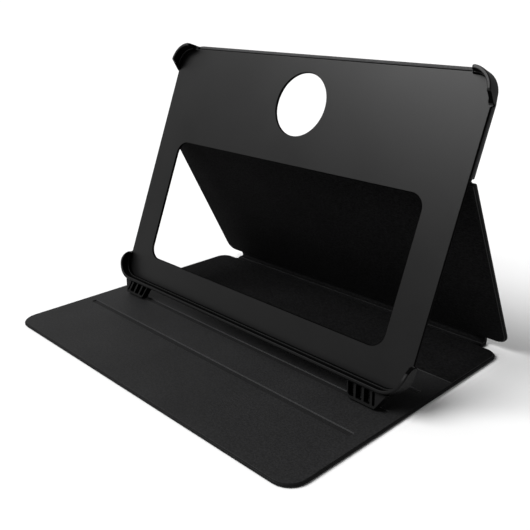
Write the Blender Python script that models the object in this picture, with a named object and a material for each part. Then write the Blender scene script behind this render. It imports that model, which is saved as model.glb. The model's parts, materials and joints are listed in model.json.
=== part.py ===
"""Folio stand case for a ten inch tablet, open and standing.

The front cover lies on the table. Behind it a narrow spine and the lower half of the back
cover (the leg) fold up, and the upper half of the back cover carries a moulded tray, which
leans back with its two feet in one of three angle grooves.
"""
import math

import bmesh
import bpy
from mathutils import Matrix, Vector

MM = 0.001

# Cover panels, all in metres
COVER_WIDTH = 268 * MM
LEG_WIDTH = 270 * MM
UPPER_WIDTH = 264 * MM
SPINE_WIDTH = 240 * MM
PANEL_THICKNESS = 2.6 * MM
SKIN_THICKNESS = 0.5 * MM
LAYER_GAP = 0.2 * MM
EDGE_GAP = 0.3 * MM
HEM_WIDTH = 2.2 * MM
SPINE_HEM = 1.0 * MM
THIN_LINING = 0.6 * MM
THICK_LINING = 1.1 * MM
FRONT_RADIUS = 12.5 * MM
REAR_RADIUS = 9 * MM
LEG_RADIUS = 8 * MM
SPINE_RADIUS = 1.2 * MM
SQUARE_RADIUS = 1.0 * MM

# Folding creases, measured from the front edge of the front cover
FRONT_CREASE_Y = 198.9 * MM
FRONT_CREASE_HEIGHT = 1.0 * MM
REAR_CREASE_Y = 207.0 * MM
REAR_CREASE_HEIGHT = 2.0 * MM
CREASE_INSET = 1.3 * MM
LEG_INSET = 4.0 * MM
FOLD_HEIGHT = 0.6 * MM
FOLD_INSET = 1.0 * MM
LEG_LENGTH = 139.9 * MM
LEG_ELEVATION = math.radians(61.6)

# Angle grooves in the front lining
GROOVE_FAR_EDGES = (59 * MM, 90 * MM, 121 * MM)
GROOVE_WIDTH = 4.2 * MM
GROOVE_DEPTH = 0.8 * MM
GROOVE_END_INSET = 10 * MM
LINING_SEAM_Y = 141.5 * MM

# Tray, in its own frame: x across, y up the plate from the tablet's lower edge, z out of the
# plate's front face
TRAY_ELEVATION = math.radians(68.3)
FOLD_UP_PLATE = 123 * MM
PLATE_THICKNESS = 1.8 * MM
PLATE_WIDTH = 265 * MM
PLATE_TOP = 180.9 * MM
CUP_WIDTH = 268.4 * MM
CUP_TOP = 182.7 * MM
CUP_RADIUS = 15 * MM
WALL_THICKNESS = 2.2 * MM
WALL_HEIGHT = 8.2 * MM
LIP_THICKNESS = 1.0 * MM
LIP_WIDTH = 0.6 * MM
STEP_WIDTH = 0.8 * MM
STEP_HEIGHT = 2.6 * MM
LOWER_ARM_END = 17.5 * MM
UPPER_ARM_END = 163.5 * MM
TOP_ARM_END = 116.6 * MM
ARM_SLANT = 6 * MM
WINDOW_WIDTH = 219 * MM
WINDOW_LOW = 20 * MM
WINDOW_HIGH = 110 * MM
WINDOW_RADIUS = 9 * MM
CAMERA_HEIGHT = 150.2 * MM
CAMERA_RADIUS = 21 * MM
COVER_CAMERA_RADIUS = 23.5 * MM
BACKING_DEPTH = 4.8 * MM
PAD_THICKNESS = 0.8 * MM
COVER_TOP = 183.8 * MM
COVER_TOP_RADIUS = 19 * MM

# Feet, in the tray's frame
FOOT_FRONT = 5.2 * MM
FOOT_BACK = 0.6 * MM
FOOT_TOP = -2.5 * MM
FOOT_BOTTOM = -11.8 * MM
FOOT_TOP_INNER = 96.4 * MM
FOOT_TOP_OUTER = 124.6 * MM
FOOT_BOTTOM_INNER = 100.1 * MM
FOOT_BOTTOM_OUTER = 119.4 * MM
FOOT_CORNER = 2.0 * MM
FOOT_BAR = 1.8 * MM
FOOT_RIB = 2.0 * MM
FOOT_SLOTS = 4
FOOT_SLOT_RADIUS = 0.5 * MM

# Magnets in the front cover's board
MAGNET_RADIUS = 5 * MM
MAGNET_X = 110 * MM
MAGNET_Y = 22 * MM

ARC_STEPS = 8
CIRCLE_STEPS = 48
WELD = 0.00001

LEG_TURN = math.pi - LEG_ELEVATION
OUTWARD = Vector((0, math.sin(LEG_ELEVATION), math.cos(LEG_ELEVATION)))
ALONG_LEG = Vector((0, -math.cos(LEG_ELEVATION), math.sin(LEG_ELEVATION)))

# The object is centred between the front cover's front edge and the back of the rear crease
REARMOST = REAR_CREASE_Y + CREASE_INSET * ALONG_LEG.y + REAR_CREASE_HEIGHT * OUTWARD.y
SHIFT = Vector((0, -REARMOST / 2, 0))

FRONT_CREASE = SHIFT + Vector((0, FRONT_CREASE_Y, FRONT_CREASE_HEIGHT))
REAR_CREASE = SHIFT + Vector((0, REAR_CREASE_Y, REAR_CREASE_HEIGHT))
FOLD = REAR_CREASE + LEG_LENGTH * ALONG_LEG + (REAR_CREASE_HEIGHT - FOLD_HEIGHT) * OUTWARD

MATERIALS = {
    "outer_skin": ((0.020, 0.020, 0.022), 0.55),
    "board": ((0.30, 0.27, 0.23), 0.90),
    "front_lining": ((0.030, 0.030, 0.033), 0.75),
    "microfibre": ((0.012, 0.012, 0.013), 0.95),
    "tray_plastic": ((0.035, 0.035, 0.037), 0.40),
    "magnet": ((0.55, 0.55, 0.56), 0.30),
    "bond_pad": ((0.10, 0.10, 0.10), 0.90),
}


def clear_scene():
    for item in list(bpy.data.objects):
        bpy.data.objects.remove(item)


def new_collection(name):
    collection = bpy.data.collections.new(name)
    bpy.context.scene.collection.children.link(collection)
    return collection


def make_material(name):
    colour, roughness = MATERIALS[name]
    material = bpy.data.materials.new(name)
    material.use_nodes = True
    shader = material.node_tree.nodes["Principled BSDF"]
    shader.inputs["Base Color"].default_value = (*colour, 1)
    shader.inputs["Roughness"].default_value = roughness
    shader.inputs["Metallic"].default_value = 1.0 if name == "magnet" else 0.0
    return material


def rounded_outline(corners):
    """Points round a closed outline whose corners are (x, y, radius)."""
    points = []
    for index, (x, y, radius) in enumerate(corners):
        corner = Vector((x, y))
        back = (Vector(corners[index - 1][:2]) - corner).normalized()
        ahead = (Vector(corners[(index + 1) % len(corners)][:2]) - corner).normalized()
        if radius == 0:
            points.append(corner)
            continue
        half = back.angle(ahead) / 2
        centre = corner + (back + ahead).normalized() * radius / math.sin(half)
        start = corner + back * radius / math.tan(half) - centre
        turn = math.copysign(math.pi - 2 * half, ahead.cross(back))
        for step in range(ARC_STEPS + 1):
            points.append(centre + Matrix.Rotation(turn * step / ARC_STEPS, 2) @ start)
    return points


def rectangle(left, right, low, high, low_radius, high_radius):
    return rounded_outline([(left, low, low_radius), (right, low, low_radius),
                            (right, high, high_radius), (left, high, high_radius)])


def panel_outline(width, low, high, low_radius, high_radius, inset=0.0):
    """A centred rectangle with rounded ends, drawn in from its edge by the inset."""
    half = width / 2 - inset
    return rectangle(-half, half, low + inset, high - inset,
                     max(low_radius - inset, SQUARE_RADIUS), max(high_radius - inset, SQUARE_RADIUS))


def circle(x, y, radius):
    angles = [2 * math.pi * step / CIRCLE_STEPS for step in range(CIRCLE_STEPS)]
    return [Vector((x + radius * math.cos(a), y + radius * math.sin(a))) for a in angles]


def slab(name, outlines, low, high, turn=None):
    """A flat solid between two heights; the first outline is its edge, any others are holes."""
    curve = bpy.data.curves.new(name, "CURVE")
    curve.dimensions = "2D"
    curve.fill_mode = "BOTH"
    curve.extrude = (high - low) / 2
    for outline in outlines:
        spline = curve.splines.new("POLY")
        spline.points.add(len(outline) - 1)
        for point, place in zip(spline.points, outline):
            point.co = (place.x, place.y, 0, 1)
        spline.use_cyclic_u = True
    drawn = bpy.data.objects.new(name, curve)
    bpy.context.scene.collection.objects.link(drawn)
    graph = bpy.context.evaluated_depsgraph_get()
    mesh = bpy.data.meshes.new_from_object(drawn.evaluated_get(graph))
    bpy.data.objects.remove(drawn)
    shape = bmesh.new()
    shape.from_mesh(mesh)
    bmesh.ops.remove_doubles(shape, verts=shape.verts, dist=WELD)
    bmesh.ops.translate(shape, verts=shape.verts, vec=(0, 0, (low + high) / 2))
    bmesh.ops.recalc_face_normals(shape, faces=shape.faces)
    shape.to_mesh(mesh)
    shape.free()
    if turn is not None:
        mesh.transform(turn)
    mesh.name = name
    return mesh


class Case:
    """The collections, the materials and one empty for each folding body."""

    def __init__(self):
        self.parts = new_collection("tablet_case")
        self.cutters = new_collection("cutters")
        self.materials = {name: make_material(name) for name in MATERIALS}
        self.frames = {
            "base": self.frame("base_frame", SHIFT, 0),
            "spine": self.frame("spine_axis", FRONT_CREASE, 0),
            "leg": self.frame("leg_axis", REAR_CREASE, LEG_TURN),
            "tray": self.frame("tray_axis", FOLD, TRAY_ELEVATION),
        }

    def frame(self, name, place, turn):
        empty = bpy.data.objects.new(name, None)
        empty.empty_display_size = 10 * MM
        empty.location = place
        empty.rotation_euler = (turn, 0, 0)
        self.parts.objects.link(empty)
        bpy.context.view_layer.update()
        return empty

    def place(self, name, mesh, body, offset, collection):
        piece = bpy.data.objects.new(name, mesh)
        piece.parent = self.frames[body]
        piece.location = offset
        collection.objects.link(piece)
        return piece

    def piece(self, name, mesh, body, material, offset=(0, 0, 0)):
        mesh.materials.clear()
        mesh.materials.append(self.materials[material])
        return self.place(name, mesh, body, offset, self.parts)

    def cut(self, piece, mesh, solver="EXACT"):
        """Take the mesh, placed as the piece is, out of the piece."""
        name = mesh.name + "_cutter"
        cutter = self.place(name, mesh, "base", piece.location, self.cutters)
        cutter.parent = piece.parent
        cutter.rotation_euler = piece.rotation_euler
        cutter.hide_render = True
        cutter.display_type = "WIRE"
        modifier = piece.modifiers.new(name, "BOOLEAN")
        modifier.operation = "DIFFERENCE"
        modifier.solver = solver
        modifier.object = cutter


def cover_skin(case, name, body, edge, pocket, floor, solver="EXACT"):
    """A cover's outer skin with its hem turned up round the board and the lining."""
    mesh = slab(name, [edge], floor, floor + PANEL_THICKNESS)
    skin = case.piece(name, mesh, body, "outer_skin")
    case.cut(skin, slab(name + "_pocket", pocket, floor + SKIN_THICKNESS,
                        floor + 2 * PANEL_THICKNESS), solver)
    return skin


def stack(floor, lining):
    """Heights of the board and of the lining above an outer face."""
    board_low = floor + SKIN_THICKNESS + LAYER_GAP
    lining_high = floor + PANEL_THICKNESS
    board_high = lining_high - lining - LAYER_GAP
    return board_low, board_high, lining_high - lining, lining_high


def front_cover(case):
    length = FRONT_CREASE_Y - CREASE_INSET
    shape = (COVER_WIDTH, 0, length, FRONT_RADIUS, REAR_RADIUS)
    cover_skin(case, "front_cover_skin", "base", panel_outline(*shape),
               [panel_outline(*shape, HEM_WIDTH)], 0)
    board_low, board_high, lining_low, lining_high = stack(0, THICK_LINING)
    inset = HEM_WIDTH + EDGE_GAP
    magnet_places = {"left": -MAGNET_X, "right": MAGNET_X}
    pockets = [circle(x, MAGNET_Y, MAGNET_RADIUS + EDGE_GAP) for x in magnet_places.values()]
    board = slab("front_cover_board", [panel_outline(*shape, inset), *pockets], board_low, board_high)
    case.piece("front_cover_board", board, "base", "board")
    for side, x in magnet_places.items():
        magnet = slab(f"{side}_cover_magnet", [circle(x, MAGNET_Y, MAGNET_RADIUS)], board_low, board_high)
        case.piece(f"{side}_cover_magnet", magnet, "base", "magnet")

    half = COVER_WIDTH / 2 - inset
    front = rectangle(-half, half, inset, LINING_SEAM_Y, FRONT_RADIUS - inset, SQUARE_RADIUS)
    lining = case.piece("front_lining", slab("front_lining", [front], lining_low, lining_high),
                        "base", "front_lining")
    groove_half = COVER_WIDTH / 2 - GROOVE_END_INSET
    for number, far in enumerate(GROOVE_FAR_EDGES, 1):
        outline = rectangle(-groove_half, groove_half, far - GROOVE_WIDTH, far,
                            SQUARE_RADIUS, SQUARE_RADIUS)
        case.cut(lining, slab(f"groove_{number}", [outline], lining_high - GROOVE_DEPTH,
                              lining_high + GROOVE_DEPTH))
    rear = rectangle(-half, half, LINING_SEAM_Y + EDGE_GAP, length - inset,
                     SQUARE_RADIUS, REAR_RADIUS - inset)
    case.piece("rear_lining", slab("rear_lining", [rear], lining_low, lining_high),
               "base", "microfibre")


def layered_panel(case, name, body, shape, hem, floor):
    """A folding cover panel: skin, board and microfibre lining."""
    cover_skin(case, f"{name}_skin", body, panel_outline(*shape), [panel_outline(*shape, hem)], floor)
    inner = panel_outline(*shape, hem + EDGE_GAP)
    board_low, board_high, lining_low, lining_high = stack(floor, THIN_LINING)
    case.piece(f"{name}_board", slab(f"{name}_board", [inner], board_low, board_high), body, "board")
    case.piece(f"{name}_lining", slab(f"{name}_lining", [inner], lining_low, lining_high),
               body, "microfibre")


def spine(case):
    rear = REAR_CREASE_Y - FRONT_CREASE_Y - CREASE_INSET
    shape = (SPINE_WIDTH, CREASE_INSET, rear, SPINE_RADIUS, SPINE_RADIUS)
    layered_panel(case, "spine", "spine", shape, SPINE_HEM, -FRONT_CREASE_HEIGHT)


def leg(case):
    shape = (LEG_WIDTH, LEG_INSET, LEG_LENGTH - FOLD_INSET, LEG_RADIUS, SQUARE_RADIUS)
    layered_panel(case, "leg", "leg", shape, HEM_WIDTH, -REAR_CREASE_HEIGHT)


def upper_back(case):
    floor = -FOLD_HEIGHT
    shape = (UPPER_WIDTH, FOLD_INSET, COVER_TOP - FOLD_UP_PLATE, SQUARE_RADIUS, COVER_TOP_RADIUS)
    camera_y = CAMERA_HEIGHT - FOLD_UP_PLATE
    hole = circle(0, camera_y, COVER_CAMERA_RADIUS)
    collar = circle(0, camera_y, COVER_CAMERA_RADIUS + HEM_WIDTH)
    skin = cover_skin(case, "upper_back_skin", "tray", panel_outline(*shape),
                      [panel_outline(*shape, HEM_WIDTH), collar], floor, "MANIFOLD")
    case.cut(skin, slab("cover_camera_hole", [hole], floor - PANEL_THICKNESS,
                        floor + 3 * PANEL_THICKNESS), "MANIFOLD")
    inner = panel_outline(*shape, HEM_WIDTH + EDGE_GAP)
    board_low = floor + SKIN_THICKNESS + LAYER_GAP
    pad_high = floor + BACKING_DEPTH - PLATE_THICKNESS - LAYER_GAP
    pad_low = pad_high - PAD_THICKNESS
    board = case.piece("upper_back_board", slab("upper_back_board", [inner], board_low,
                                                pad_low - LAYER_GAP), "tray", "board")
    pad = case.piece("bond_pad", slab("bond_pad", [inner], pad_low, pad_high), "tray", "bond_pad")
    for layer in (board, pad):
        inner_hole = circle(0, camera_y, COVER_CAMERA_RADIUS + HEM_WIDTH + EDGE_GAP)
        case.cut(layer, slab(f"{layer.name}_hole", [inner_hole], floor, floor + 2 * PANEL_THICKNESS))


def tray_shell(case):
    """The moulded tray: plate, lower wall and four corner cups."""
    offset = (0, -FOLD_UP_PLATE, BACKING_DEPTH - FOLD_HEIGHT)
    half = CUP_WIDTH / 2
    low = -WALL_THICKNESS
    edge = rectangle(-half, half, low, CUP_TOP, CUP_RADIUS, CUP_RADIUS)
    shell = case.piece("tray_shell", slab("tray_shell", [edge], -PLATE_THICKNESS, WALL_HEIGHT),
                       "tray", "tray_plastic", offset)

    def inside(inset):
        return rectangle(-half + inset, half - inset, low + inset, CUP_TOP - inset,
                         CUP_RADIUS - inset, CUP_RADIUS - inset)

    # The tablet rests on a low step round the plate, and a small lip at the rim holds it in
    lip_low = WALL_HEIGHT - LIP_THICKNESS
    case.cut(shell, slab("step_space", [inside(WALL_THICKNESS + STEP_WIDTH)], 0,
                         STEP_HEIGHT + LIP_THICKNESS))
    case.cut(shell, slab("tablet_space", [inside(WALL_THICKNESS)], STEP_HEIGHT, lip_low))
    case.cut(shell, slab("lip_mouth", [inside(WALL_THICKNESS + LIP_WIDTH)],
                         lip_low - LIP_THICKNESS, WALL_HEIGHT + LIP_THICKNESS))

    # The side walls and the top wall are cut away between the cups, with slanting ends
    over = 2 * WALL_HEIGHT
    slope = ARM_SLANT / WALL_HEIGHT * over
    side_gap = rounded_outline([(LOWER_ARM_END, 0, 0), (UPPER_ARM_END, 0, 0),
                                (UPPER_ARM_END + slope, over, 0), (LOWER_ARM_END - slope, over, 0)])
    upright = Matrix(((0, 0, 1), (1, 0, 0), (0, 1, 0))).to_4x4()
    case.cut(shell, slab("side_gap", [side_gap], -half - WALL_HEIGHT, half + WALL_HEIGHT, upright))
    top_gap = rounded_outline([(-TOP_ARM_END, 0, 0), (TOP_ARM_END, 0, 0),
                               (TOP_ARM_END + slope, over, 0), (-TOP_ARM_END - slope, over, 0)])
    flat = Matrix.Rotation(math.pi / 2, 4, "X")
    case.cut(shell, slab("top_gap", [top_gap], -CUP_TOP - WALL_HEIGHT, -CUP_TOP + CUP_RADIUS, flat))

    # In those gaps the plate's own edge lies inside the cups' outer faces
    beyond = half + WALL_HEIGHT
    for side, sign in (("left", -1), ("right", 1)):
        edges = sorted((sign * PLATE_WIDTH / 2, sign * beyond))
        strip = rectangle(*edges, LOWER_ARM_END, UPPER_ARM_END, 0, 0)
        case.cut(shell, slab(f"{side}_plate_edge", [strip], -2 * PLATE_THICKNESS, WALL_HEIGHT))
    strip = rectangle(-TOP_ARM_END, TOP_ARM_END, PLATE_TOP, CUP_TOP + WALL_HEIGHT, 0, 0)
    case.cut(shell, slab("top_plate_edge", [strip], -2 * PLATE_THICKNESS, WALL_HEIGHT))

    window = rectangle(-WINDOW_WIDTH / 2, WINDOW_WIDTH / 2, WINDOW_LOW, WINDOW_HIGH,
                       WINDOW_RADIUS, WINDOW_RADIUS)
    case.cut(shell, slab("window", [window], -2 * PLATE_THICKNESS, PLATE_THICKNESS))
    camera = circle(0, CAMERA_HEIGHT, CAMERA_RADIUS)
    case.cut(shell, slab("camera_hole", [camera], -2 * PLATE_THICKNESS, PLATE_THICKNESS))


def foot_outlines():
    """A frame that narrows downwards, with slots between its ribs."""
    def edge_at(height, inset):
        share = (height - FOOT_BOTTOM) / (FOOT_TOP - FOOT_BOTTOM)
        inner = FOOT_BOTTOM_INNER + share * (FOOT_TOP_INNER - FOOT_BOTTOM_INNER)
        outer = FOOT_BOTTOM_OUTER + share * (FOOT_TOP_OUTER - FOOT_BOTTOM_OUTER)
        return inner + inset, outer - inset

    edges = [edge_at(FOOT_BOTTOM, 0), edge_at(FOOT_TOP, 0)]
    frame = rounded_outline([(edges[0][0], FOOT_BOTTOM, FOOT_CORNER),
                             (edges[0][1], FOOT_BOTTOM, FOOT_CORNER),
                             (edges[1][1], FOOT_TOP, 0), (edges[1][0], FOOT_TOP, 0)])
    slot_low = FOOT_BOTTOM + FOOT_BAR
    slot_high = FOOT_TOP - FOOT_BAR
    outlines = [frame]
    for slot in range(FOOT_SLOTS):
        corners = []
        for height, ends in ((slot_low, (0, 1)), (slot_high, (1, 0))):
            inner, outer = edge_at(height, FOOT_BAR)
            pitch = (outer - inner + FOOT_RIB) / FOOT_SLOTS
            sides = (inner + slot * pitch, inner + (slot + 1) * pitch - FOOT_RIB)
            corners += [(sides[end], height, FOOT_SLOT_RADIUS) for end in ends]
        outlines.append(rounded_outline(corners))
    return outlines


def feet(case):
    """Two ribbed feet below the tray's lower wall, each near one end of it."""
    offset = (0, -FOLD_UP_PLATE, BACKING_DEPTH - FOLD_HEIGHT)
    for side, sign in (("left", -1), ("right", 1)):
        outlines = [[Vector((sign * p.x, p.y)) for p in line] for line in foot_outlines()]
        mesh = slab(f"{side}_foot", outlines, FOOT_BACK, FOOT_FRONT)
        case.piece(f"{side}_foot", mesh, "tray", "tray_plastic", offset)


def main():
    clear_scene()
    case = Case()
    front_cover(case)
    spine(case)
    leg(case)
    upper_back(case)
    tray_shell(case)
    feet(case)


main()
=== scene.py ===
"""Looks of the folio stand case: rounded panels, linings, folding creases and the moulded tray.

Panels, tray and feet are drawn in their own body's frame (x across, y up the panel, z out of its
inner face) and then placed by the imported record's joints and mounts. The creases are drawn in
place, in the row frame. Lengths are in metres.
"""
import json
import math

import bmesh
import bpy
from mathutils import Matrix, Vector


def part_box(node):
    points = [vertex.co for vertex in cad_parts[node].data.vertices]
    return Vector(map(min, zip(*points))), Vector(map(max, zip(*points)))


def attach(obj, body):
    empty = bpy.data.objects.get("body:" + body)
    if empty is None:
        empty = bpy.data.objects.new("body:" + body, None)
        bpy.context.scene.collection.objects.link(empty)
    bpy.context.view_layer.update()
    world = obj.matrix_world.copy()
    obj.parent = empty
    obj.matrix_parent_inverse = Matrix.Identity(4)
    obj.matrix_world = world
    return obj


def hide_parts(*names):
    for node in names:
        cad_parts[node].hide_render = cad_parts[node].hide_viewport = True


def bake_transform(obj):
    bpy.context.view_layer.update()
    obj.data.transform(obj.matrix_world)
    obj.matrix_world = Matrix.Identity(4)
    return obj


MM = 0.001

# Cover panels: width, low and high end, low and high corner radius
FRONT_PANEL = (268 * MM, 0.0, 197.6 * MM, 12.5 * MM, 9 * MM)
SPINE_PANEL = (240 * MM, 1.3 * MM, 6.8 * MM, 1.2 * MM, 1.2 * MM)
LEG_PANEL = (270 * MM, 4.0 * MM, 138.9 * MM, 8 * MM, 1 * MM)
UPPER_PANEL = (266.6 * MM, 1.0 * MM, 60.8 * MM, 1 * MM, 19 * MM)
SPINE_FLOOR = -1.0 * MM
LEG_FLOOR = -2.0 * MM
UPPER_FLOOR = -0.6 * MM
SKIN = 0.5 * MM
HEM = 2.2 * MM
SPINE_HEM = 1.0 * MM
HEM_TOP = 2.15 * MM
UPPER_HEM_TOP = 2.8 * MM
EDGE_ROUND = 1.0 * MM
CREASE_THICKNESS = 0.45 * MM

# Linings
LINING_FLOOR = 1.45 * MM
FRONT_LINING_TOP = 2.45 * MM
MICROFIBRE_TOP = 2.7 * MM
FRONT_LINING_INSET = 0.9 * MM
MICROFIBRE_INSET = 1.1 * MM
LINING_ROUND = 0.3 * MM
LINING_SEAM = 141.5 * MM
GROOVE_FAR_EDGES = (59 * MM, 90 * MM, 121 * MM)
GROOVE_WIDTH = 4.2 * MM
GROOVE_FLOOR = 1.8 * MM
GROOVE_END = 125 * MM

# Tray
FOLD_UP_PLATE = 123 * MM
PLATE_FRONT = 4.2 * MM
PLATE = 1.8 * MM
CUP_HALF = 134.2 * MM
CUP_LOW = -2.2 * MM
CUP_TOP = 182.7 * MM
CUP_RADIUS = 15 * MM
WALL = 2.2 * MM
WALL_HEIGHT = 8.2 * MM
STEP_WIDTH = 0.8 * MM
STEP_HEIGHT = 2.6 * MM
SIDE_RECESS = 1.7 * MM
TOP_RECESS = 1.8 * MM
# Profile spans inside the tray's wall, its inner face and the step's riser, given a painted shade.
SHADED_SPANS = (12, 13, 14, 18, 19, 20)
OUTER_WALL_SPAN = 3
PLATE_EDGE_SPANS = 7
LOWER_ARM = (8 * MM, 17.5 * MM)
UPPER_ARM = (163.5 * MM, 169.5 * MM)
TOP_ARM = (116.6 * MM, 119.6 * MM)
WINDOW = (219 * MM, 20 * MM, 110 * MM, 9 * MM)
CAMERA_HOLE = (150.2 * MM, 21 * MM)
COVER_HOLE_RADIUS = 23.5 * MM

# Feet, in the tray's frame
FOOT_FRONT = 5.4 * MM
FOOT_BACK = 0.6 * MM
FOOT_TOP = -2.0 * MM
FOOT_BOTTOM = -12.0 * MM
FOOT_TOP_X = (96.4 * MM, 124.7 * MM)
FOOT_BOTTOM_X = (100.1 * MM, 119.4 * MM)
FOOT_SLOTS = ((None, 103.0 * MM), (105.0 * MM, 108.7 * MM), (110.8 * MM, 114.5 * MM),
              (116.6 * MM, 117.9 * MM))
FOOT_RIB_LEAN = 2.0 * MM
FOOT_INNER_BAR = 1.3 * MM
FOOT_LOW_BAR = 1.9 * MM

ARC = 6
HOLE_STEPS = 96

# Camera and light
CAMERA_PLACE = (0.32403, -0.30763, 0.22084)
CAMERA_TURN = (math.radians(90 - 20.69), 0, math.radians(45.43))
CAMERA_LENS = 49.015
KEY_FROM = (-0.43, -0.57, 0.76)
KEY_POWER = 3.4
KEY_SPREAD = math.radians(38)
BRIGHT_SIDE = (-0.95, 0.05, 0.30)
SKY_RANGE = (0.03, 0.72)

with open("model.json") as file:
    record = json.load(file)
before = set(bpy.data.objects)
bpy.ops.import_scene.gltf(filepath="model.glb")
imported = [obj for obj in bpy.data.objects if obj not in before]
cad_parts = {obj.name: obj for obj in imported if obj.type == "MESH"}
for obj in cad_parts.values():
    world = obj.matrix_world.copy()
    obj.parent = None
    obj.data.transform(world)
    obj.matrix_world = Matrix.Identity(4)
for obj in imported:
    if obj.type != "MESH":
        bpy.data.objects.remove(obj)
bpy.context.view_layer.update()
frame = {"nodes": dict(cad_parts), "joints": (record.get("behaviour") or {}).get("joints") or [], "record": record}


# ---------------------------------------------------------------- frames

joints = {joint["name"]: Vector(joint["pos_m"]) for joint in frame["joints"]}
mounts = {mount["name"]: mount for mount in frame["record"]["mounts"]}
tray_out = Vector(mounts["tablet_rest"]["axis"]).normalized()
leg_out = Vector(mounts["leg_back"]["axis"]).normalized()
base_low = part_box("front_cover_skin")[0]


def upright_frame(origin, out):
    """A frame whose z is the given direction, with x across the case."""
    across = Vector((1, 0, 0))
    up = out.cross(across)
    turn = Matrix((across, up, out)).transposed().to_4x4()
    return Matrix.Translation(origin) @ turn


BASE = Matrix.Translation(Vector((0, base_low.y, 0)))
SPINE = Matrix.Translation(joints["spine_fold"])
LEG = upright_frame(joints["leg_fold"], -leg_out)
FOLD = upright_frame(joints["tray_fold"], tray_out)
TRAY = FOLD @ Matrix.Translation(Vector((0, -FOLD_UP_PLATE, PLATE_FRONT)))
FRAMES = {"base": BASE, "spine": SPINE, "leg": LEG, "tray": FOLD}


# ---------------------------------------------------------------- outlines

def ring(corners, inset=0.0, height=0.0, steps=ARC):
    """A closed outline with rounded corners (x, y, radius), drawn in by the inset, at a height."""
    count = len(corners)
    points = []
    area = sum(corners[i - 1][0] * corners[i][1] - corners[i][0] * corners[i - 1][1]
               for i in range(count))
    side = 1 if area > 0 else -1
    for i in range(count):
        here = Vector(corners[i][:2])
        back = (Vector(corners[i - 1][:2]) - here).normalized()
        ahead = (Vector(corners[(i + 1) % count][:2]) - here).normalized()
        radius = max(corners[i][2] - inset, 0.04 * MM)
        half = back.angle(ahead) / 2
        inward = (back + ahead).normalized()
        corner = here + inward * inset / math.sin(half)
        centre = corner + inward * radius / math.sin(half)
        start = corner + back * radius / math.tan(half) - centre
        turn = side * (math.pi - 2 * half)
        for step in range(steps + 1):
            p = centre + Matrix.Rotation(turn * step / steps, 2) @ start
            points.append(Vector((p.x, p.y, height)))
    return points


def rectangle(half, low, high, low_radius, high_radius):
    return [(-half, low, low_radius), (half, low, low_radius),
            (half, high, high_radius), (-half, high, high_radius)]


def panel_corners(panel):
    width, low, high, low_radius, high_radius = panel
    return rectangle(width / 2, low, high, low_radius, high_radius)


def circle(x, y, radius, height):
    turns = [2 * math.pi * i / HOLE_STEPS for i in range(HOLE_STEPS)]
    return [Vector((x + radius * math.cos(a), y + radius * math.sin(a), height)) for a in turns]


def arc(centre_x, centre_z, radius, begin, end, steps=4):
    """Profile points round a quarter or so, in degrees."""
    angles = [math.radians(begin + (end - begin) * i / steps) for i in range(steps + 1)]
    return [(centre_x + radius * math.cos(a), centre_z + radius * math.sin(a)) for a in angles]


# ---------------------------------------------------------------- meshes

class Shape:
    """A closed mesh made of bands between rings, and flat faces filled between rings."""

    def __init__(self):
        self.mesh = bmesh.new()
        self.flat = self.mesh.faces.layers.int.new("flat")

    def band(self, rings, finish=0):
        """Join rings of equal count, and return the first and the last ring's edges.

        The finish is one material index, a list with one for each span, or a function of both
        the span and the place round the ring.
        """
        loops = [[self.mesh.verts.new(p) for p in points] for points in rings]
        for span, (lower, upper) in enumerate(zip(loops, loops[1:])):
            for i in range(len(lower)):
                j = (i + 1) % len(lower)
                face = self.mesh.faces.new((lower[i], lower[j], upper[j], upper[i]))
                if callable(finish):
                    face.material_index = finish(span, i)
                else:
                    face.material_index = finish[span] if isinstance(finish, list) else finish
        return [self.edges_of(loop) for loop in (loops[0], loops[-1])]

    def edges_of(self, loop):
        edges = []
        for i, vertex in enumerate(loop):
            ends = (vertex, loop[(i + 1) % len(loop)])
            edges.append(self.mesh.edges.get(ends) or self.mesh.edges.new(ends))
        return edges

    def fill(self, *loops, finish=0):
        """A flat face between one outer ring and any holes."""
        edges = [edge for loop in loops for edge in loop]
        made = bmesh.ops.triangle_fill(self.mesh, use_beauty=True, edges=edges)["geom"]
        for face in made:
            if isinstance(face, bmesh.types.BMFace):
                face[self.flat] = 1
                face.material_index = finish

    def finish(self, name, matrix, weld=0.002 * MM, soft=False):
        """Close the mesh, place it, and shade flat faces flat with the edges carrying the turn."""
        bmesh.ops.remove_doubles(self.mesh, verts=self.mesh.verts, dist=weld)
        bmesh.ops.dissolve_degenerate(self.mesh, edges=self.mesh.edges, dist=weld / 4)
        bmesh.ops.recalc_face_normals(self.mesh, faces=self.mesh.faces)
        bmesh.ops.transform(self.mesh, matrix=matrix, verts=self.mesh.verts)
        self.mesh.normal_update()
        normals = []
        for vertex in self.mesh.verts:
            faces = [f for f in vertex.link_faces if f[self.flat]] or vertex.link_faces
            total = sum((f.normal * f.calc_area() for f in faces), Vector((0, 0, 0)))
            normals.append(total.normalized())
        data = bpy.data.meshes.new(name)
        self.mesh.to_mesh(data)
        self.mesh.free()
        data.shade_smooth()
        if not soft:
            data.normals_split_custom_set_from_vertices(normals)
        piece = bpy.data.objects.new(name, data)
        bpy.context.scene.collection.objects.link(piece)
        return piece


# ---------------------------------------------------------------- materials

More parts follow.
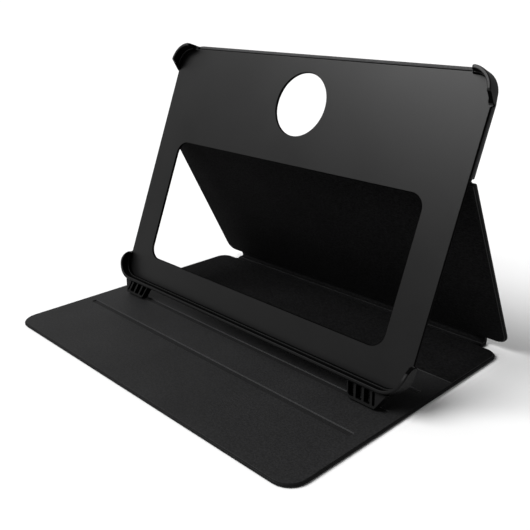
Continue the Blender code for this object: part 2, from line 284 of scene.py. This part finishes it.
class Look:
    """A procedural material: one shader with colour, roughness and bump fed by textures."""

    def __init__(self, name, roughness, specular, **fixed):
        self.material = bpy.data.materials.new(name)
        self.material.use_nodes = True
        self.tree = self.material.node_tree
        self.shader = self.tree.nodes["Principled BSDF"]
        self.shader.inputs["Roughness"].default_value = roughness
        self.shader.inputs["Specular IOR Level"].default_value = specular
        for socket, value in fixed.items():
            self.shader.inputs[socket.replace("_", " ")].default_value = value
        self.place = self.tree.nodes.new("ShaderNodeTexCoord").outputs["Object"]
        self.bumped = None

    def node(self, kind, inputs=(), **settings):
        made = self.tree.nodes.new("ShaderNode" + kind)
        for name, value in settings.items():
            setattr(made, name, value)
        for socket, value in dict(inputs).items():
            if isinstance(value, bpy.types.NodeSocket):
                self.tree.links.new(value, made.inputs[socket])
            else:
                made.inputs[socket].default_value = value
        return made

    def stretched(self, *scale):
        return self.node("Mapping", {"Vector": self.place, "Scale": scale}).outputs[0]

    def noise(self, scale, detail=3.0, place=None, roughness=0.5):
        inputs = {"Vector": place or self.place, "Scale": scale, "Detail": detail,
                  "Roughness": roughness}
        return self.node("TexNoise", inputs).outputs["Fac"]

    def cells(self, scale, feature="F1"):
        inputs = {"Vector": self.place, "Scale": scale}
        return self.node("TexVoronoi", inputs, feature=feature).outputs["Distance"]

    def spread(self, value, low, high, from_low=0.25, from_high=0.75):
        """Stretch a texture's middle range to the wanted one."""
        inputs = {"Value": value, "From Min": from_low, "From Max": from_high,
                  "To Min": low, "To Max": high}
        return self.node("MapRange", inputs).outputs["Result"]

    def mix(self, factor, low, high):
        made = self.node("Mix", data_type="RGBA")
        self.tree.links.new(factor, made.inputs["Factor"])
        colours = [socket for socket in made.inputs if socket.type == "RGBA"]
        colours[0].default_value = (*low, 1)
        colours[1].default_value = (*high, 1)
        return next(socket for socket in made.outputs if socket.type == "RGBA")

    def colour(self, socket):
        self.tree.links.new(socket, self.shader.inputs["Base Color"])

    def rough(self, socket):
        self.tree.links.new(socket, self.shader.inputs["Roughness"])

    def bump(self, height, distance, strength=1.0):
        inputs = {"Height": height, "Distance": distance, "Strength": strength}
        if self.bumped is not None:
            inputs["Normal"] = self.bumped
        self.bumped = self.node("Bump", inputs).outputs["Normal"]
        self.tree.links.new(self.bumped, self.shader.inputs["Normal"])


def grey(value, blue=1.03):
    return (value, value, value * blue)


def outer_leather(name, low, high, specular, grain):
    """Matte black artificial leather with a fine pebble grain."""
    look = Look(name, 0.6, specular)
    pebbles = look.cells(1050, "SMOOTH_F1")
    pores = look.noise(5200, 2)
    patches = look.noise(28, 3)
    look.colour(look.mix(look.spread(patches, 0, 1), grey(low), grey(high)))
    look.rough(look.spread(pebbles, 0.48, 0.70, 0.1, 0.6))
    look.bump(pebbles, 0.16 * MM, grain)
    look.bump(pores, 0.03 * MM, 0.35)
    return look.material


def fine_leather(name, low, high, roughness):
    """Smooth black artificial leather with a very fine grain, inside the front cover."""
    look = Look(name, roughness, 0.13)
    grain = look.cells(2100, "SMOOTH_F1")
    pores = look.noise(3600, 3)
    mottle = look.noise(900, 3)
    patches = look.noise(19, 4)
    shade = look.node("Math", {0: look.spread(patches, 0.1, 0.7),
                               1: look.spread(mottle, -0.45, 0.45, 0.35, 0.65)},
                      operation="ADD").outputs[0]
    look.colour(look.mix(shade, grey(low), grey(high)))
    look.rough(look.spread(pores, roughness - 0.07, roughness + 0.08))
    look.bump(grain, 0.06 * MM, 0.45)
    look.bump(pores, 0.04 * MM, 0.40)
    return look.material


def microfibre(name):
    """Napped black microfibre with a fine crosswise weave."""
    look = Look(name, 0.95, 0.03)
    weave = look.noise(1.0, 3, look.stretched(620, 1350, 1350), 0.6)
    threads = look.noise(1.0, 2, look.stretched(900, 3200, 3200))
    nap = look.noise(2600, 3)
    patches = look.noise(42, 4)
    shade = look.node("Math", {0: look.spread(weave, 0, 1, 0.34, 0.66),
                               1: look.spread(patches, 0.75, 1.0)}, operation="MULTIPLY").outputs[0]
    look.colour(look.mix(shade, grey(0.0022), grey(0.0105)))
    look.bump(weave, 0.20 * MM, 0.7)
    look.bump(threads, 0.08 * MM, 0.6)
    look.bump(nap, 0.06 * MM, 0.5)
    return look.material


def sealed_edge():
    """The microfibre's cut edge, melted smooth."""
    look = Look("sealed_edge", 0.5, 0.18)
    melt = look.noise(1400, 3)
    look.colour(look.mix(look.spread(melt, 0, 1), grey(0.007), grey(0.012)))
    look.rough(look.spread(melt, 0.42, 0.60))
    look.bump(melt, 0.04 * MM, 0.5)
    return look.material


def moulded_plastic(name, roughness, specular, low, high):
    """Black moulded plastic with a fine spark-eroded texture."""
    look = Look(name, roughness, specular)
    spark = look.noise(4200, 2)
    patches = look.noise(24, 3)
    look.colour(look.mix(look.spread(patches, 0, 1), grey(low), grey(high)))
    look.rough(look.spread(patches, roughness - 0.02, roughness + 0.02))
    look.bump(spark, 0.012 * MM, 0.5)
    return look.material


def fibre_board():
    look = Look("fibre_board", 0.9, 0.2)
    fibres = look.noise(1.0, 4, look.stretched(420, 1500, 1500))
    look.colour(look.mix(look.spread(fibres, 0, 1), (0.24, 0.21, 0.18), (0.36, 0.33, 0.28)))
    look.bump(fibres, 0.05 * MM, 0.6)
    return look.material


def magnet_plating():
    look = Look("magnet_plating", 0.3, 0.5, Metallic=1.0)
    brushing = look.noise(1.0, 2, look.stretched(300, 9000, 9000))
    look.colour(look.mix(look.spread(brushing, 0, 1), (0.50, 0.50, 0.51), (0.62, 0.62, 0.63)))
    look.rough(look.spread(brushing, 0.24, 0.38))
    look.bump(brushing, 0.01 * MM, 0.3)
    return look.material


def adhesive_foam():
    look = Look("adhesive_foam", 0.95, 0.15)
    pores = look.cells(1800)
    look.colour(look.mix(look.spread(pores, 0, 1, 0.1, 0.7), grey(0.002), grey(0.005)))
    look.bump(pores, 0.1 * MM, 0.8)
    return look.material


LOOKS = {
    "outer_skin": outer_leather("outer_leather", 0.0150, 0.0220, 0.38, 0.8),
    # Painted light: a lighter copy of the outer leather round the upper back cover's edge, where light catches it.
    "lit_hem_leather": outer_leather("lit_hem_leather", 0.0230, 0.0300, 0.25, 0.3),
    # Painted shade: a darker copy of the outer leather for the covers' turned edges, which face away from the
    # light.
    "shaded_edge_leather": outer_leather("shaded_edge_leather", 0.0040, 0.0065, 0.08, 0.3),
    "front_lining": fine_leather("fine_leather", 0.0100, 0.0185, 0.62),
    # Painted highlight: a lighter, glossier copy of the lining on the grooves' walls and rounded edges.
    "highlit_groove_edge": fine_leather("highlit_groove_edge", 0.0230, 0.0310, 0.45),
    # Painted shade: a darker copy of the lining on the grooves' floors, which sit in shade.
    "shaded_groove_floor": fine_leather("shaded_groove_floor", 0.0070, 0.0105, 0.75),
    "microfibre": microfibre("microfibre"),
    "sealed_edge": sealed_edge(),
    "tray_plastic": moulded_plastic("tray_plastic", 0.33, 0.20, 0.0018, 0.0026),
    "foot_plastic": moulded_plastic("foot_plastic", 0.50, 0.10, 0.0022, 0.0034),
    # Painted shade: a darker, duller copy of the black plastic, inside the tray's wall, at its arms' ends, round
    # its bare edges and openings, and in the feet's slots.
    "shaded_plastic": moulded_plastic("shaded_plastic", 0.85, 0.02, 0.0008, 0.0014),
    "board": fibre_board(),
    "magnet": magnet_plating(),
    "bond_pad": adhesive_foam(),
}


def dress(piece, look, *nodes, trims=()):
    """Give a piece its material and any for its trims, and hide the record's parts that it stands for."""
    for name in (look, *trims):
        piece.data.materials.append(LOOKS[name])
    if nodes:
        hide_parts(*nodes)
    return piece


# ---------------------------------------------------------------- covers

def skin_profile(hem, top):
    """From under a cover, round its edge, over the hem and down into the pocket."""
    r = EDGE_ROUND
    outer = arc(r, r, r, 270, 180)
    over = arc(r, top - r, r, 180, 90)
    inner = arc(hem - 0.25 * MM, top - 0.25 * MM, 0.25 * MM, 90, 0, 2)
    floor = [(hem, SKIN + 0.2 * MM), (hem + 0.2 * MM, SKIN)]
    return outer + over + inner + floor


def cover_skin(name, panel, hem, floor, body, hole=None, top=HEM_TOP):
    """A cover's outer leather, with the trim look where it turns round the edge: painted shade on most covers,
    painted light on the upper back.
    """
    shape = Shape()
    corners = panel_corners(panel)
    profile = skin_profile(hem, top)
    # The spans round the edge and over the hem take the trim look: painted shade on the front, spine and leg
    # covers, painted light on the upper back.
    finish = [1 if span > 1 else 0 for span in range(len(profile))]
    loops = [shape.band([ring(corners, inset, floor + z) for inset, z in profile], finish)]
    if hole is not None:
        y, radius = hole
        loops.append(shape.band([circle(0, y, radius + inset, floor + z) for inset, z in profile],
                                finish))
    shape.fill(*[ends[0] for ends in loops])
    shape.fill(*[ends[1] for ends in loops])
    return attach(shape.finish(name, FRAMES[body]), body)


def lining_profile(step, low, high):
    """From the pocket up, over the hem where the lining is wider by the step, to its top."""
    wrapped = [(step, low), (step, high - 0.4 * MM), (0.0, high - 0.4 * MM)] if step else [(0.0, low)]
    return wrapped + arc(LINING_ROUND, high - LINING_ROUND, LINING_ROUND, 180, 90, 3)


def flat_lining(name, corners, low, high, body, step=0.0):
    """A lining sheet whose cut edge is heat-sealed, so that it shines a little."""
    shape = Shape()
    ends = shape.band([ring(corners, inset, z) for inset, z in lining_profile(step, low, high)], 1)
    shape.fill(ends[0])
    shape.fill(ends[1])
    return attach(shape.finish(name, FRAMES[body]), body)


def grooved_lining(name):
    """The front cover's lining, wrapped over the hem, with three angle grooves pressed in."""
    width, _, _, radius, _ = FRONT_PANEL
    half = width / 2 - FRONT_LINING_INSET
    edge = rectangle(half, FRONT_LINING_INSET, LINING_SEAM + 1 * MM, radius - FRONT_LINING_INSET,
                     0.3 * MM)
    step = HEM + 0.2 * MM - FRONT_LINING_INSET
    under = HEM_TOP + 0.02 * MM
    top = FRONT_LINING_TOP
    soft = 0.25 * MM
    # Index 1 carries the painted highlight on the grooves' walls and edges, index 2 the painted shade on their
    # floors.
    pressed, floor = 1, 2
    profile = [(step, LINING_FLOOR), (step, under), (0, under)]
    profile += arc(soft, top - soft, soft, 180, 90, 3)
    shape = Shape()
    loops = [shape.band([ring(edge, inset, z) for inset, z in profile])]
    groove_profile = [(-0.2 * MM, top), (-0.06 * MM, top - 0.06 * MM), (0, top - 0.2 * MM),
                      (0, GROOVE_FLOOR + 0.15 * MM), (0.15 * MM, GROOVE_FLOOR)]
    for far in GROOVE_FAR_EDGES:
        corners = rectangle(GROOVE_END, far - GROOVE_WIDTH, far, 1 * MM, 1 * MM)
        ends = shape.band([ring(corners, inset, z) for inset, z in groove_profile], pressed)
        loops.append(ends)
        shape.fill(ends[1], finish=floor)
    shape.fill(*([loops[0][1]] + [ends[0] for ends in loops[1:]]))
    shape.fill(loops[0][0])
    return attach(shape.finish(name, BASE), "base")


def covers():
    skin = cover_skin("front_cover_shell", FRONT_PANEL, HEM, 0, "base")
    dress(skin, "outer_skin", "front_cover_skin", trims=("shaded_edge_leather",))
    lining = dress(grooved_lining("grooved_lining"), "front_lining", "front_lining",
                   trims=("highlit_groove_edge", "shaded_groove_floor"))
    half = FRONT_PANEL[0] / 2 - MICROFIBRE_INSET
    wrap = HEM + 0.2 * MM - MICROFIBRE_INSET
    rear = rectangle(half, LINING_SEAM, FRONT_PANEL[2] - MICROFIBRE_INSET, 0.6 * MM, 7.9 * MM)
    lining = dress(flat_lining("rear_lining_sheet", rear, LINING_FLOOR, MICROFIBRE_TOP, "base", wrap),
                   "microfibre", "rear_lining", trims=("sealed_edge",))

    dress(cover_skin("spine_shell", SPINE_PANEL, SPINE_HEM, SPINE_FLOOR, "spine"),
          "outer_skin", "spine_skin", trims=("shaded_edge_leather",))
    half = SPINE_PANEL[0] / 2 - SPINE_HEM
    strip = rectangle(half, SPINE_PANEL[1] + 0.7 * MM, SPINE_PANEL[2] - 0.7 * MM, 0.5 * MM, 0.5 * MM)
    dress(flat_lining("spine_lining_sheet", strip, SPINE_FLOOR + LINING_FLOOR,
                      SPINE_FLOOR + MICROFIBRE_TOP, "spine"),
          "microfibre", "spine_lining", trims=("sealed_edge",))

    skin = cover_skin("leg_shell", LEG_PANEL, HEM, LEG_FLOOR, "leg")
    dress(skin, "outer_skin", "leg_skin", trims=("shaded_edge_leather",))
    half = LEG_PANEL[0] / 2 - MICROFIBRE_INSET
    sheet = rectangle(half, LEG_PANEL[1] + MICROFIBRE_INSET, LEG_PANEL[2] - 0.8 * MM, 6.9 * MM,
                      0.6 * MM)
    lining = dress(flat_lining("leg_lining_sheet", sheet, LEG_FLOOR + LINING_FLOOR,
                               LEG_FLOOR + MICROFIBRE_TOP, "leg", wrap),
                   "microfibre", "leg_lining", trims=("sealed_edge",))

    hole = (CAMERA_HOLE[0] - FOLD_UP_PLATE, COVER_HOLE_RADIUS)
    dress(cover_skin("upper_back_shell", UPPER_PANEL, HEM, UPPER_FLOOR, "tray", hole,
                     UPPER_HEM_TOP), "outer_skin", "upper_back_skin", trims=("lit_hem_leather",))


# ---------------------------------------------------------------- creases

def smooth_line(points, per_span=6):
    """A line through the points, rounded by a Catmull-Rom spline."""
    ends = [points[0] * 2 - points[1]] + points + [points[-1] * 2 - points[-2]]
    line = []
    for a, b, c, d in zip(ends, ends[1:], ends[2:], ends[3:]):
        for step in range(per_span):
            t = step / per_span
            line.append(0.5 * (2 * b + (c - a) * t + (2 * a - 5 * b + 4 * c - d) * t * t
                               + (3 * b - a - 3 * c + d) * t * t * t))
    line.append(points[-1])
    return line


def crease(name, points, half_width, slot, columns=24):
    """A strip of sheet across a fold. The points are (y, z) in the row frame, centre line."""
    line = smooth_line([Vector(p) for p in points])
    normals = []
    for i in range(len(line)):
        along = line[min(i + 1, len(line) - 1)] - line[max(i - 1, 0)]
        normals.append(Vector((-along.y, along.x)).normalized() * CREASE_THICKNESS / 2)
    outline = [p + n for p, n in zip(line, normals)]
    outline += [p - n for p, n in reversed(list(zip(line, normals)))]
    shape = Shape()
    rings = []
    for i in range(columns + 1):
        x = half_width * (2 * i / columns - 1)
        rings.append([Vector((x, p.x, p.y)) for p in outline])
    ends = shape.band(rings)
    for edges in ends:
        loop = bmesh.ops.contextual_create(shape.mesh, geom=edges)["faces"]
        bmesh.ops.triangulate(shape.mesh, faces=loop)
    piece = shape.finish(name, Matrix.Identity(4), 0.0005 * MM, soft=True)
    dress(piece, slot)
    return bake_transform(piece)


def creases():
    def base_point(y, z):
        return (joints["spine_fold"].y + y * MM, z * MM)

    half = SPINE_PANEL[0] / 2 - 1.5 * MM
    crease("front_crease_outer", [base_point(-2.6, 0.26), base_point(-1.2, 0.30), base_point(0, 0.72),
                                  base_point(1.2, 0.30), base_point(2.6, 0.26)],
           half, "outer_skin")
    crease("front_crease_inner", [base_point(-3.4, 2.40), base_point(-1.4, 2.25), base_point(0, 1.62),
                                  base_point(1.2, 2.20), base_point(2.2, 2.35)],
           half, "microfibre")

    centre = Vector((joints["leg_fold"].y, joints["leg_fold"].z))
    along = Vector((LEG.col[1].y, LEG.col[1].z))
    inward = Vector((LEG.col[2].y, LEG.col[2].z))

    def leg_point(y, z):
        return centre + along * y * MM + inward * z * MM

    def near_leg(y, z):
        return centre + Vector((y, z)) * MM

    crease("rear_crease_outer", [near_leg(-2.8, -1.74), near_leg(-0.9, -1.68), near_leg(0.75, -0.75),
                                 leg_point(1.6, -1.62), leg_point(5.2, -1.76)],
           half, "outer_skin")
    crease("rear_crease_inner", [near_leg(-4.6, 0.42), near_leg(-2.6, 0.50), near_leg(-1.9, 1.5),
                                 leg_point(3.2, 0.50), leg_point(6.4, 0.42)],
           half, "microfibre")

    top = Vector((joints["tray_fold"].y, joints["tray_fold"].z))
    tray_up = Vector((FOLD.col[1].y, FOLD.col[1].z))
    tray_in = Vector((FOLD.col[2].y, FOLD.col[2].z))

    def top_leg(y, z):
        return top + along * y * MM + inward * z * MM

    def top_tray(y, z):
        return top + tray_up * y * MM + tray_in * z * MM

    half = UPPER_PANEL[0] / 2 - 1.5 * MM
    crease("fold_outer", [top_leg(-2.4, -0.34), top_leg(-1.0, -0.26), top + inward * 0.15 * MM,
                          top_tray(1.0, -0.26), top_tray(2.4, -0.34)],
           half, "outer_skin")
    crease("fold_inner", [top_leg(-3.0, 1.80), top_leg(-1.0, 1.86), top + (inward + tray_in) * 0.98 * MM,
                          top_tray(1.0, 1.80), top_tray(3.0, 1.70)],
           half, "microfibre")


# ---------------------------------------------------------------- tray

def wall_height(x, y):
    """How far the tray's wall stands off the plate at a place on its outer edge."""
    share = 1.0
    if y > LOWER_ARM[0] and y < UPPER_ARM[1]:
        if y < CAMERA_HOLE[0] / 2:
            fall = min((y - LOWER_ARM[0]) / (LOWER_ARM[1] - LOWER_ARM[0]), 1)
            share = math.sqrt(1 - fall * fall)
        else:
            share = max((y - UPPER_ARM[0]) / (UPPER_ARM[1] - UPPER_ARM[0]), 0)
    elif y > CUP_TOP - 1 * MM and abs(x) < TOP_ARM[1]:
        share = max((abs(x) - TOP_ARM[0]) / (TOP_ARM[1] - TOP_ARM[0]), 0)
    return WALL_HEIGHT * share


def tray_stations():
    """Places round the tray's outer edge: point, inward normal, wall height, plate recess."""
    r = CUP_RADIUS
    inner = CUP_HALF - r
    low, high = CUP_LOW + r, CUP_TOP - r

    def corner(x, y, begin):
        steps = 14
        turns = [math.radians(begin + 90 * i / steps) for i in range(steps + 1)]
        return [(Vector((x + r * math.cos(a), y + r * math.sin(a))),
                 Vector((-math.cos(a), -math.sin(a)))) for a in turns]

    def spans(begin, end, count):
        return [begin + (end - begin) * i / count for i in range(count + 1)]

    side = spans(low, LOWER_ARM[1], 8)[1:] + [LOWER_ARM[1] + 0.9 * MM]
    side += spans(LOWER_ARM[1] + 12 * MM, UPPER_ARM[0] - 12 * MM, 6)
    side += [UPPER_ARM[0] - 0.9 * MM] + spans(UPPER_ARM[0], high, 4)[:-1]
    top = spans(inner, TOP_ARM[0], 4)[1:] + [TOP_ARM[0] - 0.9 * MM, TOP_ARM[0] - 12 * MM]
    top += spans(TOP_ARM[0] - 30 * MM, -TOP_ARM[0] + 30 * MM, 4)
    top += [-x for x in reversed(spans(inner, TOP_ARM[0], 4)[1:] + [TOP_ARM[0] - 0.9 * MM,
                                                                    TOP_ARM[0] - 12 * MM])]
    bottom = spans(-inner, inner, 12)[1:-1]
    places = corner(inner, low, -90)
    places += [(Vector((CUP_HALF, y)), Vector((-1, 0))) for y in side]
    places += corner(inner, high, 0)
    places += [(Vector((x, CUP_TOP)), Vector((0, -1))) for x in top]
    places += corner(-inner, high, 90)
    places += [(Vector((-CUP_HALF, y)), Vector((1, 0))) for y in reversed(side)]
    places += corner(-inner, low, 180)
    places += [(Vector((x, CUP_LOW)), Vector((0, 1))) for x in bottom]

    stations = []
    for point, normal in places:
        height = wall_height(point.x, point.y)
        recess = 0.0
        if LOWER_ARM[1] + 0.5 * MM < point.y < UPPER_ARM[0] - 0.5 * MM:
            recess = SIDE_RECESS
        elif point.y > CUP_TOP - 1 * MM and abs(point.x) < TOP_ARM[0] - 0.5 * MM:
            recess = TOP_RECESS
        stations.append((point, normal, height, recess))
    return stations


def tray_profile(height, recess):
    """From the plate's back, round its edge, over the wall and the step, to the plate's front."""
    share = height / WALL_HEIGHT
    back = 0.6 * MM
    rim = (0.5 + 0.4 * share) * MM
    inner = 0.5 * MM * share
    step = min(STEP_HEIGHT, height)
    soft = 0.28 * MM * step / STEP_HEIGHT
    foot = 0.35 * MM * step / STEP_HEIGHT
    outside = arc(back, -PLATE + back, back, 270, 180, 3) + arc(rim, height - rim, rim, 180, 90)
    points = arc(WALL - inner, height - inner, inner, 90, 0)
    points += [(WALL, step + foot * 0.4), (WALL + 0.05 * MM * share, step)]
    points += arc(WALL + STEP_WIDTH - soft, step - soft, soft, 90, 0, 2)
    points += [(WALL + STEP_WIDTH, foot), (WALL + STEP_WIDTH + foot * 0.3, foot * 0.3),
               (WALL + STEP_WIDTH + 0.4 * MM, 0)]
    points = outside + [(across, max(z, 0)) for across, z in points]
    return [(recess + across, z) for across, z in points]


def tray():
    shape = Shape()
    columns = []
    stations = tray_stations()
    for point, normal, height, recess in stations:
        columns.append([Vector((*(point + normal * across), z))
                        for across, z in tray_profile(height, recess)])

    def finish(span, i):
        """Painted shade, a darker and duller copy of the plastic, at bare edges, inside the wall and at the arms'
        ends; dull outside and below.
        """
        height = stations[i][2]
        if height == 0:
            return 1 if span < PLATE_EDGE_SPANS else 0
        if span in SHADED_SPANS or (height < 0.8 * WALL_HEIGHT and span > OUTER_WALL_SPAN):
            return 1
        return 2 if span == OUTER_WALL_SPAN or stations[i][0].y < LOWER_ARM[1] else 0

    edge = shape.band([[column[i] for column in columns] for i in range(len(columns[0]))], finish)
    soft = 0.45 * MM
    lip = arc(-soft, -soft, soft, 90, 0, 3) + arc(-soft, -PLATE + soft, soft, 0, -90, 3)
    hole_profile = [(-x, z) for x, z in lip]
    width, low, high, radius = WINDOW
    window = rectangle(width / 2, low, high, radius, radius)
    # The openings' rounded lips take the painted shade.
    openings = [shape.band([ring(window, -across, z, 10) for across, z in hole_profile], 1)]
    y, hole = CAMERA_HOLE
    openings.append(shape.band([circle(0, y, hole + across, z) for across, z in hole_profile], 1))
    shape.fill(edge[1], *[ends[0] for ends in openings])
    shape.fill(edge[0], *[ends[1] for ends in openings])
    shape.mesh.normal_update()
    for face in shape.mesh.faces:
        face[shape.flat] = int(abs(face.normal.z) > 0.99999)
    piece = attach(shape.finish("moulded_tray", TRAY), "tray")
    return dress(piece, "tray_plastic", "tray_shell", trims=("shaded_plastic", "foot_plastic"))


def foot(side, sign):
    """A ribbed foot, narrowing downwards, that stands in an angle groove."""
    def edges(height):
        share = (height - FOOT_BOTTOM) / (FOOT_TOP - FOOT_BOTTOM)
        return [low + share * (high - low) for low, high in zip(FOOT_BOTTOM_X, FOOT_TOP_X)]

    low, high = edges(FOOT_BOTTOM), edges(FOOT_TOP)
    frame_corners = [(low[0], FOOT_BOTTOM, 2.6 * MM), (low[1], FOOT_BOTTOM, 1.8 * MM),
                     (high[1], FOOT_TOP, 0.1 * MM), (high[0], FOOT_TOP, 0.1 * MM)]
    floor, top = FOOT_BOTTOM + FOOT_LOW_BAR, FOOT_TOP - 1.1 * MM
    lean = FOOT_RIB_LEAN / 2
    slots = []
    for left, right in FOOT_SLOTS:
        low_left = left + lean if left else edges(floor)[0] + FOOT_INNER_BAR
        high_left = left - lean if left else edges(top)[0] + FOOT_INNER_BAR
        slots.append([(low_left, floor, 0.3 * MM if left else 1.3 * MM),
                      (right + lean, floor, 0.3 * MM), (right - lean, top, 0.3 * MM),
                      (high_left, top, 0.3 * MM)])

    soft = 0.3 * MM
    stages = arc(soft, FOOT_BACK + soft, soft, 270, 180, 2)
    stages += arc(soft, FOOT_FRONT - soft, soft, 180, 90, 2)
    shape = Shape()

    def rings(corners, way):
        return [[Vector((sign * p.x, p.y, z)) for p in ring(corners, way * inset)]
                for inset, z in stages]

    loops = [shape.band(rings(frame_corners, 1))]
    # The slots' sides take the painted shade.
    loops += [shape.band(rings(corners, -1), 1) for corners in slots]
    shape.fill(*[ends[0] for ends in loops])
    shape.fill(*[ends[1] for ends in loops])
    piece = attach(shape.finish(f"{side}_ribbed_foot", TRAY), "tray")
    return dress(piece, "foot_plastic", f"{side}_foot", trims=("shaded_plastic",))


# ---------------------------------------------------------------- studio

def studio():
    floor = bpy.data.meshes.new("floor")
    reach = 60.0
    sides = 64
    edge = [(reach * math.cos(2 * math.pi * i / sides), reach * math.sin(2 * math.pi * i / sides), 0)
            for i in range(sides)]
    floor.from_pydata(edge, [], [list(range(sides))])
    ground = bpy.data.objects.new("floor", floor)
    ground.location.z = -0.02 * MM
    bpy.context.scene.collection.objects.link(ground)
    look = Look("pale_floor", 0.85, 0.1)
    look.colour(look.mix(look.noise(1.5, 2), (0.88, 0.88, 0.88), (0.90, 0.90, 0.90)))
    floor.materials.append(look.material)

    world = bpy.data.worlds.new("studio")
    bpy.context.scene.world = world
    world.use_nodes = True
    tree = world.node_tree
    sky = tree.nodes["Background"]
    sky.inputs["Color"].default_value = (1, 1, 1, 1)
    facing = tree.nodes.new("ShaderNodeVectorMath")
    facing.operation = "DOT_PRODUCT"
    facing.inputs[1].default_value = Vector(BRIGHT_SIDE).normalized()
    span = tree.nodes.new("ShaderNodeMapRange")
    span.inputs["From Min"].default_value = -1
    span.inputs["To Min"].default_value, span.inputs["To Max"].default_value = SKY_RANGE
    seen = tree.nodes.new("ShaderNodeLightPath")
    strength = tree.nodes.new("ShaderNodeMath")
    strength.operation = "MAXIMUM"
    tree.links.new(tree.nodes.new("ShaderNodeTexCoord").outputs["Generated"], facing.inputs[0])
    tree.links.new(facing.outputs["Value"], span.inputs["Value"])
    tree.links.new(span.outputs["Result"], strength.inputs[0])
    tree.links.new(seen.outputs["Is Camera Ray"], strength.inputs[1])
    tree.links.new(strength.outputs[0], sky.inputs["Strength"])

    key = bpy.data.lights.new("key", "SUN")
    key.energy = KEY_POWER
    key.angle = KEY_SPREAD
    lamp = bpy.data.objects.new("key", key)
    bpy.context.scene.collection.objects.link(lamp)
    lamp.rotation_euler = Vector(KEY_FROM).to_track_quat("Z", "Y").to_euler()

    camera = bpy.data.cameras.new("camera")
    camera.lens = CAMERA_LENS
    camera.sensor_width = 36
    camera.clip_start = 0.01
    camera.clip_end = 200
    eye = bpy.data.objects.new("camera", camera)
    eye.location = CAMERA_PLACE
    eye.rotation_euler = CAMERA_TURN
    bpy.context.scene.collection.objects.link(eye)
    bpy.context.scene.camera = eye
    bpy.context.scene.view_settings.view_transform = "Standard"


def carried_over():
    """The hidden CAD pieces keep their shapes and get finished materials."""
    slots = {sub["node"]: sub["material_slot"] for sub in frame["record"]["subparts"]}
    for name, node in frame["nodes"].items():
        node.data.materials.clear()
        node.data.materials.append(LOOKS[slots[name]])


carried_over()
covers()
creases()
tray()
foot("left", -1)
foot("right", 1)
studio()
